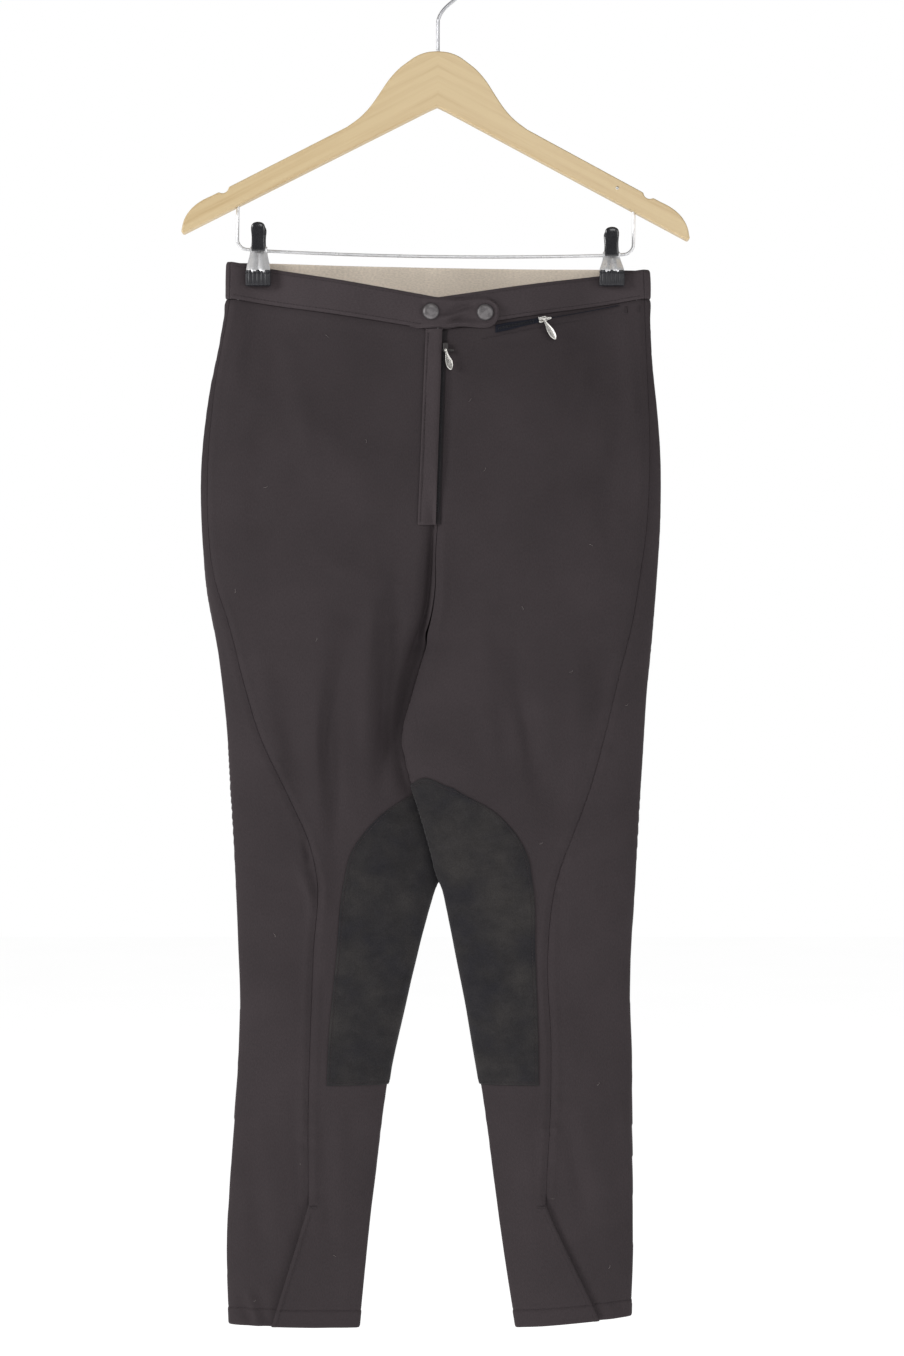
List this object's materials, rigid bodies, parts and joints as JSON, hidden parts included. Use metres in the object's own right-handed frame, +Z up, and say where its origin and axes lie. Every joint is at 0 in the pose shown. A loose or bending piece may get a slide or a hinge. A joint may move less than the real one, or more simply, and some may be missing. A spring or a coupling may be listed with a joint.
{
  "type": "riding breeches on clip hanger",
  "caption": "Slim riding breeches with a mid waist, curved outseams, suede knee patches and lapped ankle vents, hung by clips from a wooden hanger with a wire hook.",
  "frame": {"origin": "inner top of the hanger's hook, where a rail holds it", "axes": "+Z up, -Y out of the front of the breeches, +X to the viewer's right"},
  "size_m": [0.4449, 0.0636, 1.207],
  "materials": {
    "cloth": "stretch cloth with a fine twill and a soft sheen",
    "band_cloth": "the same cloth, doubled",
    "facing": "smooth beige facing",
    "suede": "napped suede",
    "zip_tape": "woven tape",
    "snap_metal": "satin enamel",
    "zip_metal": "nickel plate",
    "hanger_wood": "clear satin varnish",
    "hanger_wire": "polished",
    "clip_coating": "dipped coating"
  },
  "bodies": {
    "breeches": {"front_panel_left": "cloth", "front_panel_right": "cloth", "back_panel_left": "cloth", "back_panel_right": "cloth", "fly_placket": "cloth", "waistband_front_left": "band_cloth", "waistband_front_right": "band_cloth", "waistband_back": "band_cloth", "waist_tab": "band_cloth", "waistband_facing": "facing", "knee_patch_left": "suede", "knee_patch_right": "suede", "fly_zip_tape": "zip_tape", "pocket_zip_tape": "zip_tape", "snap_left": "snap_metal", "snap_right": "snap_metal", "fly_slider": "zip_metal", "pocket_slider": "zip_metal", "hanger_arms": "hanger_wood", "hanger_hook": "hanger_wire", "trouser_bar": "hanger_wire", "clip_left_body": "hanger_wire", "clip_left_grip_front": "clip_coating", "clip_left_grip_back": "clip_coating", "clip_left_pad_front": "clip_coating", "clip_left_pad_back": "clip_coating", "clip_right_body": "hanger_wire", "clip_right_grip_front": "clip_coating", "clip_right_grip_back": "clip_coating", "clip_right_pad_front": "clip_coating", "clip_right_pad_back": "clip_coating"},
    "fly_tab": {"fly_pull": "zip_metal"},
    "pocket_tab": {"pocket_pull": "zip_metal"}
  },
  "joints": [
    {"name": "fly_tab_swing", "type": "hinge", "parent": "breeches", "child": "fly_tab", "pos_m": [0.0068, -0.0305, -0.35124], "axis": [-1, -0.0005, 0], "range_deg": [0, 120]},
    {"name": "pocket_tab_swing", "type": "hinge", "parent": "breeches", "child": "pocket_tab", "pos_m": [0.09183, -0.02419, -0.32381], "axis": [-0.9535, -0.22, -0.2059], "range_deg": [0, 120]}
  ]
}
